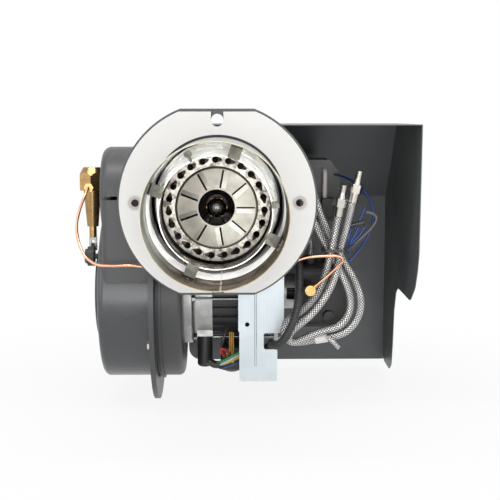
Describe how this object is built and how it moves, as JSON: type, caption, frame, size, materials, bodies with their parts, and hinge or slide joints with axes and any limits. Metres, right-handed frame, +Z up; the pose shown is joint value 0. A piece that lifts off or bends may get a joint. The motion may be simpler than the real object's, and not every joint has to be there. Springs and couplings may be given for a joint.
{
  "type": "diesel burner",
  "caption": "Oil burner with a flanged blast tube, vaned diffuser disc, side fan scroll, motor, pump, braided hoses and a bent sheet hood.",
  "frame": {"origin": "centre of the flange gasket's front face, on the axis of the blast tube", "axes": "+X right as seen from the boiler, +Y back from the boiler, +Z up; the blast tube points along -Y"},
  "size_m": [0.4865, 0.564, 0.441],
  "materials": {
    "gasket_board": "matte fibre board",
    "dark_plate": "semi-matt",
    "zinc_steel": "zinc plated",
    "tube_steel": "heat stained",
    "sleeve_steel": "heat stained",
    "disc_steel": "heat stained",
    "head_alloy": "cast",
    "nozzle_steel": "polished",
    "holder_brass": "machined",
    "white_ceramic": "glazed",
    "dark_casting": "painted casting",
    "sight_glass": "clear",
    "black_plastic": "fine grain",
    "box_plastic": "satin",
    "red_plastic": "gloss",
    "ram_brass": "machined",
    "fitting_brass": "machined",
    "steel_rod": "ground",
    "wheel_steel": "zinc coated sheet",
    "cast_alloy": "bare casting",
    "motor_paint": "painted",
    "pump_paint": "painted",
    "copper": "drawn copper",
    "bracket_sheet": "bare galvanised sheet",
    "hood_sheet": "powder coated",
    "hose_braid": "steel braid over rubber",
    "white_plastic": "smooth",
    "conduit_plastic": "corrugated",
    "blue_lead": "smooth sleeve",
    "grey_lead": "smooth sleeve",
    "white_lead": "smooth sleeve"
  },
  "bodies": {
    "burner": {"flange_gasket": "gasket_board", "flange_plate": "dark_plate", "ram_bracket": "dark_plate", "hex_screws": "zinc_steel", "cover_screws": "zinc_steel", "hose_ends": "zinc_steel", "hood_posts": "zinc_steel", "blast_tube": "tube_steel", "head_sleeve": "sleeve_steel", "sleeve_straps": "sleeve_steel", "head_body": "dark_casting", "rear_cover": "dark_casting", "scroll_left": "dark_casting", "scroll_right": "dark_casting", "intake_housing": "dark_casting", "inlet_cover": "dark_casting", "inlet_ring": "dark_casting", "sight_glass": "sight_glass", "flame_sensor": "black_plastic", "motor_plug": "black_plastic", "capacitor": "black_plastic", "control_plug": "black_plastic", "hose_tie": "black_plastic", "control_base": "box_plastic", "control_box": "box_plastic", "ignition_transformer": "box_plastic", "ram_body": "ram_brass", "pipe_fittings": "fitting_brass", "terminal_tabs": "fitting_brass", "tie_rods": "steel_rod", "motor_plate": "cast_alloy", "motor_end_shield": "cast_alloy", "motor_rear_shield": "cast_alloy", "pump_hub": "cast_alloy", "motor_body": "motor_paint", "oil_pump": "pump_paint", "pump_cover": "pump_paint", "copper_pipe": "copper", "support_bracket": "bracket_sheet", "hood": "hood_sheet", "hose_outer": "hose_braid", "hose_inner": "hose_braid", "hose_sleeve": "white_plastic", "conduit": "conduit_plastic", "blue_wire": "blue_lead", "grey_cable": "grey_lead", "white_cable": "white_lead"},
    "rotor": {"fan_wheel": "wheel_steel", "motor_shaft": "steel_rod", "drive_coupling": "black_plastic"},
    "damper": {"damper": "black_plastic"},
    "ram_rod": {"ram_rod": "steel_rod"},
    "mixing_head": {"nozzle_holder": "holder_brass", "nozzle": "nozzle_steel", "disc_carrier": "head_alloy", "diffuser_disc": "disc_steel", "electrode_ceramics": "white_ceramic", "electrode_rods": "disc_steel", "electrode_clamp": "disc_steel"},
    "reset_button": {"reset_button": "red_plastic"}
  },
  "joints": [
    {"name": "fan_spin", "type": "hinge", "parent": "burner", "child": "rotor", "pos_m": [0, 0.175, -0.15], "axis": [1, 0, 0], "continuous": true},
    {"name": "damper_swing", "type": "hinge", "parent": "burner", "child": "damper", "pos_m": [-0.188, 0.118, -0.088], "axis": [-1, 0, 0], "range_deg": [0, 44], "stiffness_Nm_per_rad": 0.045, "springref_deg": -21.2},
    {"name": "ram_slide", "type": "slide", "parent": "burner", "child": "ram_rod", "axis": [0, 0, -1], "range_m": [0, 0.0211]},
    {"name": "head_slide", "type": "slide", "parent": "burner", "child": "mixing_head", "axis": [0, -1, 0], "range_m": [0, 0.02]},
    {"name": "reset_press", "type": "slide", "parent": "burner", "child": "reset_button", "axis": [-1, 0, 0], "range_m": [0, 0.003], "stiffness_N_per_m": 400, "springref_m": -0.001}
  ],
  "couplings": [
    {"joint": "ram_slide", "follows": "damper_swing", "m_per_rad": 0.02736}
  ]
}
